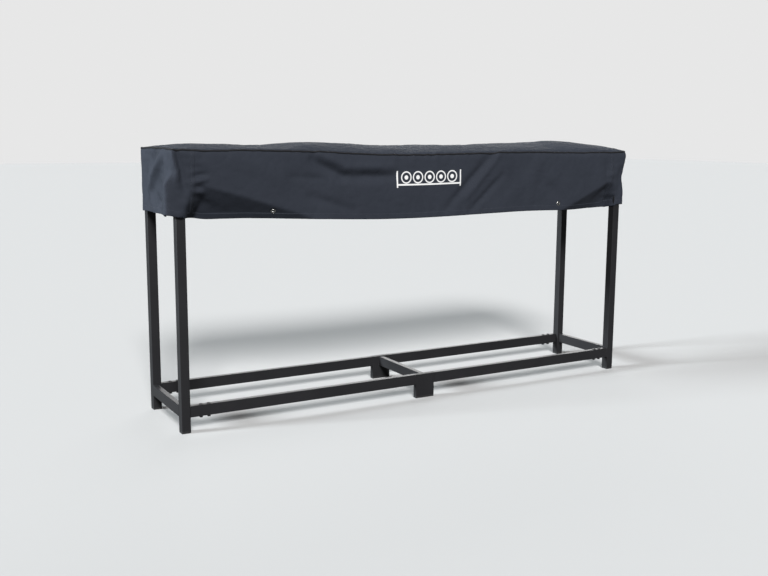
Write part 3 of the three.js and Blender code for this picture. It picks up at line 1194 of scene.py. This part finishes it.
# %% [markdown]
# ## The cover's finishes
#
# The cloth is woven polyester with a matte coating: a plain weave with threads about half a
# millimetre apart, a slight slate blue, hardly any gloss, and no two patches quite the same. Its
# bump has the weave, and a much coarser network of faint creases. A printed pictogram on the
# front, a rack with five log ends, is ink in the same material, so it follows every fold. Each
# part of it is a distance from a line or a ring, cut off sharply.

# %% The printed pictogram
PRINT_MIDDLE = -0.113
PRINT_HALF_WIDTH = 0.176
PRINT_HALF_HEIGHT = 0.039
PRINT_LINE = 0.0042  # half the thickness of the printed lines
SHELF_UP = 0.014  # from the foot of the uprights
LOG_PITCH = 0.064
LOG_COUNT = 5
LOG_UP = 0.0085
LOG_RING = 0.0255
LOG_RING_LINE = 0.0034
LOG_CORE = 0.0105


def printed(u, v):
    """1 where the white ink is and 0 elsewhere."""
    sharp = 900.0
    up = v - PRINT_MIDDLE

    def within(distance, half):
        return ((half - distance) * sharp).clamped()

    tall = within(up.absolute(), PRINT_HALF_HEIGHT)
    wide = within(u.absolute(), PRINT_HALF_WIDTH + PRINT_LINE)
    uprights = within((u.absolute() - PRINT_HALF_WIDTH).absolute(), PRINT_LINE) * tall
    shelf = within((up + (PRINT_HALF_HEIGHT - SHELF_UP)).absolute(), PRINT_LINE) * wide
    span = LOG_COUNT / 2 * LOG_PITCH
    local = (u + span) % LOG_PITCH - LOG_PITCH / 2
    rise = up - LOG_UP
    reach = (local * local + rise * rise) ** 0.5
    ring = within((reach - LOG_RING).absolute(), LOG_RING_LINE)
    core = within(reach, LOG_CORE)
    logs = (ring + core).clamped() * within(u.absolute(), span)
    return (uprights + shelf + logs).clamped()


print(f"print: {2 * PRINT_HALF_WIDTH:.3f} x {2 * PRINT_HALF_HEIGHT:.3f} m, {LOG_COUNT} log ends")

# %% Cloth
WEAVE = 0.0011  # two threads, one over and one under
INK = (0.80, 0.80, 0.79)


def cover_polyester():
    finish = Finish("cover_polyester")
    where = finish.place()
    cut = finish.add("ShaderNodeUVMap", {"uv_map": "cut"})
    u = finish.add("ShaderNodeSeparateXYZ", None, {"Vector": cut}, output="X")
    v = finish.add("ShaderNodeSeparateXYZ", None, {"Vector": cut}, output="Y")
    turn = 2 * math.pi / WEAVE
    warp = (u * turn).sine()
    weft = (v * turn).sine()
    weave = warp * weft * 0.5 + 0.5
    blotch = finish.noise(where, 5.0, 5.0, 0.6)
    dust = finish.noise(where, 60.0, 4.0, 0.7)
    crease = finish.noise(where, 24.0, 3.0, 0.65)
    fine = finish.noise(where, 95.0, 3.0, 0.6)
    tone = blotch * 0.55 + dust * 0.30 + weave * 0.15
    cloth_colour = finish.mix(tone, (0.0200, 0.0230, 0.0310), (0.0355, 0.0405, 0.0530))
    worn_ink = (printed(u, v) * (1.02 - dust * 0.12)).clamped()
    height = weave * 0.00018 + fine * 0.0005 + crease * 0.0013
    finish.set(
        Base_Color=finish.mix(worn_ink, cloth_colour, INK),
        Roughness=blotch * 0.10 + dust * 0.08 + 0.66,
        Normal=finish.bump(height, 0.75, 1.0),
        Specular_IOR_Level=0.06,
        Sheen_Weight=0.01,
        Sheen_Roughness=0.45,
    )
    return finish.material


polyester = cover_polyester()
print("finish:", polyester.name)

# %% [markdown]
# The inside of the cloth is a smoother, greyer coating. The piping is bound in a ribbed black
# tape, darker than the cloth: that darkness is painted shade, the shadow in the seam's groove.
# The thread is a shade lighter than the cloth, and the grommets are nickel plate with a cloudy
# polish.

# %% Lining, binding with painted shade, thread and nickel
def cover_lining():
    finish = Finish("cover_lining")
    where = finish.place()
    blotch = finish.noise(where, 7.0, 4.0, 0.6)
    fine = finish.noise(where, 260.0, 3.0, 0.6)
    finish.set(
        Base_Color=finish.mix(blotch, (0.022, 0.023, 0.025), (0.038, 0.039, 0.042)),
        Roughness=fine * 0.15 + 0.38,
        Normal=finish.bump(fine, 0.3, 0.0004),
    )
    return finish.material


def cover_binding_painted_shade():
    finish = Finish("cover_binding_painted_shade")
    where = finish.place()
    rib = (finish.add("ShaderNodeSeparateXYZ", None, {"Vector": where}) * 2600.0).sine()
    fuzz = finish.noise(where, 420.0, 3.0, 0.7)
    finish.set(
        # painted shade: the tape is darker than the cloth so that it draws the shadow in the seam's
        # groove
        Base_Color=finish.mix(fuzz, (0.007, 0.007, 0.008), (0.016, 0.016, 0.018)),
        Roughness=fuzz * 0.15 + 0.72,
        Normal=finish.bump(rib * 0.4 + fuzz, 0.5, 0.0003),
        Specular_IOR_Level=0.25,
    )
    return finish.material


def sewing_thread():
    finish = Finish("sewing_thread")
    where = finish.place()
    ply = finish.noise(where, 1500.0, 2.0, 0.6)
    finish.set(
        Base_Color=finish.mix(ply, (0.012, 0.013, 0.016), (0.036, 0.039, 0.046)),
        Roughness=ply * 0.2 + 0.45,
        Normal=finish.bump(ply, 0.6, 0.0002),
    )
    return finish.material


def bright_nickel():
    finish = Finish("bright_nickel")
    where = finish.place()
    cloud = finish.noise(where, 220.0, 4.0, 0.7)
    finish.set(
        Base_Color=finish.mix(cloud, (0.36, 0.355, 0.34), (0.62, 0.61, 0.58)),
        Metallic=1.0,
        Roughness=cloud * 0.22 + 0.16,
        Normal=finish.bump(cloud, 0.12, 0.0003),
    )
    return finish.material


lining = cover_lining()
binding_painted_shade = cover_binding_painted_shade()
thread = sewing_thread()
nickel = bright_nickel()
print("finishes:", lining.name, binding_painted_shade.name, thread.name, nickel.name)

# %% [markdown]
# ## Piping round the top edge
#
# Where the top panel meets the skirt, a bound cord is caught in the seam. It keeps the edge from
# fraying, and its tape, darker than the cloth, is painted shade: it draws the shadow of the seam as
# a thin dark line right round the cover. A tree sweeps a small round section along the sewn edge.

# %% Piping
PIPING_RADIUS = 0.0040


def sweep_tree(material):
    tree = Tree("swept_cord", {"Radius": "NodeSocketFloat", "Sides": "NodeSocketInt"})
    ins = tree.input.outputs
    curve = tree.add("GeometryNodeMeshToCurve", None, {"Mesh": ins["Geometry"]})
    circle = tree.add("GeometryNodeCurvePrimitiveCircle", None, {
        "Resolution": ins["Sides"], "Radius": ins["Radius"]})
    swept = tree.add("GeometryNodeCurveToMesh", None, {
        "Curve": curve.outputs[0], "Profile Curve": circle.outputs["Curve"], "Fill Caps": True})
    tree.end(swept.outputs[0], material)
    return tree


def add_piping():
    line = [draped.at(u, 0.0, 0.0014)[0] for u in round_rim(0.010)]
    piping = paths_object("cover_piping", [(line, True)])
    run_tree(piping, sweep_tree(binding_painted_shade), {"Radius": PIPING_RADIUS, "Sides": 10})
    shade_smooth(piping)
    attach(piping, BODY_OF_COVER)
    return piping


piping = add_piping()
print("piping:", triangles(piping), "triangles")

# %% [markdown]
# ## Hem and upright seams
#
# The hem is the cloth turned under and sewn down, so along the bottom it is twice as thick and
# ends in a soft rounded fold. Its section is drawn once, as heights above the fold and steps off
# the cloth, and carried round the skirt. Near each end a second strip of cloth, lapped over the
# first, makes an upright seam from the piping to the hem.

# %% Hem band and seam strips
HEM_HEIGHT = 0.025
HEM_STEP = 0.0009
HALF_CLOTH = CLOTH / 2
HEM_SECTION = [
    # height above the hem, step off the middle of the cloth
    (1.00, 0.15), (0.99, 1.10), (0.75, 1.45), (0.40, 1.50), (0.08, 1.40), (-0.03, 0.90),
    (-0.06, 0.00), (-0.03, -0.90), (0.08, -1.40), (0.40, -1.50), (0.75, -1.45), (0.99, -1.10),
    (1.00, -0.15)]
SEAM_SECTION = [(-1.0, 0.15), (-0.93, 0.95), (-0.4, 1.25), (0.4, 1.25), (0.93, 0.95), (1.0, 0.15)]
SEAM_HALF_WIDTH = 0.009


def strip_mesh(name, rows, closed, material):
    """A strip of quads through rows of points, all of one length."""
    points = [point for row in rows for point in row]
    size = len(rows[0])
    faces = []
    for n in range(len(rows) if closed else len(rows) - 1):
        m = (n + 1) % len(rows)
        for k in range(size - 1):
            faces.append((n * size + k, n * size + k + 1, m * size + k + 1, m * size + k))
    made = object_from(name, points, faces=faces)
    turn_outwards(made)
    made.data.materials.append(material)
    shade_smooth(made)
    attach(made, BODY_OF_COVER)
    return made


def hem_row(u):
    row = []
    wave = 0.0004 * noise.noise(Vector((u * 70, 2.0, 5.0)))
    for height, step in HEM_SECTION:
        above = max(0.0, height) * HEM_HEIGHT
        point, normal = draped.at(u, above - skirt_drop(u))
        point = point + normal * (step * HEM_STEP + wave)
        point.z += min(0.0, height) * HEM_HEIGHT
        row.append(point)
    row.append(row[0])
    return row


def add_hem():
    rows = [hem_row(u) for u in round_rim(0.0085)]
    return strip_mesh("cover_hem", rows, True, polyester)


def seam_row(u, v):
    row = []
    for across, step in SEAM_SECTION:
        off = HALF_CLOTH + step * HEM_STEP
        row.append(draped.at(u + across * SEAM_HALF_WIDTH, v, off)[0])
    row.append(draped.at(u + SEAM_HALF_WIDTH, v, 0.0)[0])
    row.append(draped.at(u - SEAM_HALF_WIDTH, v, 0.0)[0])
    row.append(row[0])
    return row


def seam_lines():
    return {"front_left": -SEAM_X, "front_right": SEAM_X,
            "rear_left": rear_u(-SEAM_X), "rear_right": rear_u(SEAM_X)}


def add_seam(where, u):
    bottom = HEM_HEIGHT * 0.9 - skirt_drop(u)
    rows = [seam_row(u, v) for v in np.linspace(-0.003, bottom, 44)]
    return strip_mesh(f"cover_seam_{where}", rows, False, polyester)


hem = add_hem()
seams = [add_seam(where, u) for where, u in seam_lines().items()]
print("hem:", triangles(hem), "seams:", [triangles(seam) for seam in seams])

# %% [markdown]
# ## Stitching
#
# Every sewn line shows a row of lockstitches between five and six millimetres apart. Each row is
# a line of points just off the cloth, and a tree lays a small bead of thread at each pitch along
# it. There are thousands, so one stitch has only a few faces.

# %% Stitches
STITCH_PITCH = 0.0055
STITCH_LENGTH = 0.0040
STITCH_WIDTH = 0.0009
STITCH_OFF = HALF_CLOTH + 0.0002


def stitch_tree(material):
    tree = Tree("stitches", {
        "Pitch": "NodeSocketFloat", "Length": "NodeSocketFloat", "Width": "NodeSocketFloat"})
    ins = tree.input.outputs
    curve = tree.add("GeometryNodeMeshToCurve", None, {"Mesh": ins["Geometry"]})
    spots = tree.add(
        "GeometryNodeCurveToPoints", {"mode": "LENGTH"},
        {"Curve": curve.outputs[0], "Length": ins["Pitch"]})
    bead = tree.add("GeometryNodeMeshUVSphere", None, {"Segments": 6, "Rings": 4, "Radius": 0.5})
    size = tree.add("ShaderNodeCombineXYZ", None, {
        "X": ins["Width"], "Y": ins["Width"], "Z": ins["Length"]})
    laid = tree.add("GeometryNodeInstanceOnPoints", None, {
        "Points": spots.outputs["Points"], "Instance": bead.outputs["Mesh"],
        "Rotation": spots.outputs["Rotation"], "Scale": size.outputs[0]})
    tree.end(laid.outputs[0], material)
    return tree


def stitch_rows():
    """Two rows right round the skirt, at the hem and under the piping, and two for each seam."""
    up_hem = HEM_HEIGHT * 0.86
    on_hem = STITCH_OFF + HEM_STEP
    on_seam = STITCH_OFF + HEM_STEP * 1.2
    under_piping = -0.0085
    rim = round_rim(0.010)
    rows = [([draped.at(u, up_hem - skirt_drop(u), on_hem)[0] for u in rim], True)]
    rows.append(([draped.at(u, under_piping, STITCH_OFF)[0] for u in rim], True))
    for u in seam_lines().values():
        for side in (-0.6, 0.6):
            across = u + side * SEAM_HALF_WIDTH
            stations = np.linspace(-0.004, HEM_HEIGHT - skirt_drop(u), 40)
            rows.append(([draped.at(across, v, on_seam)[0] for v in stations], False))
    return rows


def add_stitches():
    stitches = paths_object("cover_stitches", stitch_rows())
    sizes = {"Pitch": STITCH_PITCH, "Length": STITCH_LENGTH, "Width": STITCH_WIDTH}
    run_tree(stitches, stitch_tree(thread), sizes)
    shade_smooth(stitches)
    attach(stitches, BODY_OF_COVER)
    return stitches


stitches = add_stitches()
print("stitches:", triangles(stitches), "triangles")

# %% [markdown]
# ## Grommets
#
# Two pressed nickel eyelets in each long skirt take a tie-down cord. Each is two rings, one
# rolled over the other through the cloth, so its section is a soft ridge on both sides with a
# short barrel between. The section is spun about the hole's axis and stood on the cloth.

# %% Grommets, and the holes they line
RING_SIDES = 48
RING_STEPS = 10
RING_ACROSS = 23  # millimetres over the ring
RING_BORE = 12  # and across its bore
RING_SWELL = 0.0021  # how high the ring's ridge stands off the middle of the cloth
HOLE_RADIUS = 0.0078  # between the bore and the ring's edge, so the ring covers the cloth's edge
MERGE = 1e-6


def grommet_profile(cad_low, cad_high):
    """Radius and height points of half a grommet, with sizes from its solid in the frame."""
    outer = (cad_high.x - cad_low.x) / 2
    bore = outer * RING_BORE / RING_ACROSS
    rim = HALF_CLOTH + 0.0003
    points = [(bore, 0.0)]
    for n in range(RING_STEPS + 1):
        t = n / RING_STEPS
        radius = bore + (outer - bore) * t
        height = rim + (RING_SWELL - rim) * math.sin(math.pi * (0.18 + 0.82 * t)) ** 0.7
        points.append((radius, height))
    points[-1] = (outer, rim)
    return points


def add_grommet(name, u):
    low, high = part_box(name)
    above_hem = (low.z + high.z) / 2 - front_low.z
    place, normal = draped.at(u, above_hem - skirt_drop(u))
    turn = normal.to_track_quat("Z", "Y").to_matrix()
    upper = grommet_profile(low, high)
    section = upper + [(radius, -height) for radius, height in reversed(upper[1:])]
    rows = []
    for n in range(RING_SIDES):
        angle = 2 * math.pi * n / RING_SIDES
        row = []
        for radius, height in section + section[:1]:
            local = Vector((radius * math.cos(angle), radius * math.sin(angle), height))
            row.append(place + turn @ local)
        rows.append(row)
    ring = strip_mesh("nickel_" + name, rows, True, nickel)
    turn_outwards(ring, MERGE)
    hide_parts(name)
    return ring, place


def grommet_places():
    places = {}
    for name in nodes:
        if name.startswith("grommet_"):
            low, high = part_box(name)
            x = (low.x + high.x) / 2
            places[name] = x if "front" in name else rear_u(x)
    return places


def cut_hole(cloth, middle, radius):
    """Opens a round hole: faces inside go, and the edge left behind is drawn to a circle."""
    work = bmesh.new()
    work.from_mesh(cloth.data)
    near = [face for face in work.faces if (face.calc_center_median() - middle).length < radius]
    bmesh.ops.delete(work, geom=near, context="FACES")
    for vertex in work.verts:
        off = vertex.co - middle
        if vertex.is_boundary and off.length < 3 * radius:
            vertex.co = middle + off.normalized() * radius
    work.to_mesh(cloth.data)
    work.free()


for name, u in grommet_places().items():
    ring, middle = add_grommet(name, u)
    cut_hole(cover_cloth, middle, HOLE_RADIUS)
for piece in [hem, *seams]:
    turn_outwards(piece, MERGE)

# %% [markdown]
# ## Give the cloth its thickness
#
# Only now does the shell become a real sheet with two faces and an edge. The outer face keeps
# the weave and the inner face is the lining.

# %% Thickness, and the size of the flat cut
def thicken(cloth):
    cloth.data.materials.clear()
    cloth.data.materials.append(polyester)
    cloth.data.materials.append(lining)
    wall = cloth.modifiers.new("wall", "SOLIDIFY")
    wall.thickness = CLOTH
    wall.offset = 0.0
    wall.material_offset = 1
    wall.use_even_offset = False
    settle(cloth)
    shade_smooth(cloth)


thicken(cover_cloth)
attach(cover_cloth, BODY_OF_COVER)
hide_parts("cover_top", "cover_front", "cover_rear", "cover_left", "cover_right")
flat_width = TOP_WIDTH + 2 * DROP
flat_area = 2 * HALF_X * flat_width + 2 * (DROP - END_SKIRT_SHORTER) * TOP_WIDTH
print("cover triangles:", triangles(cover_cloth))
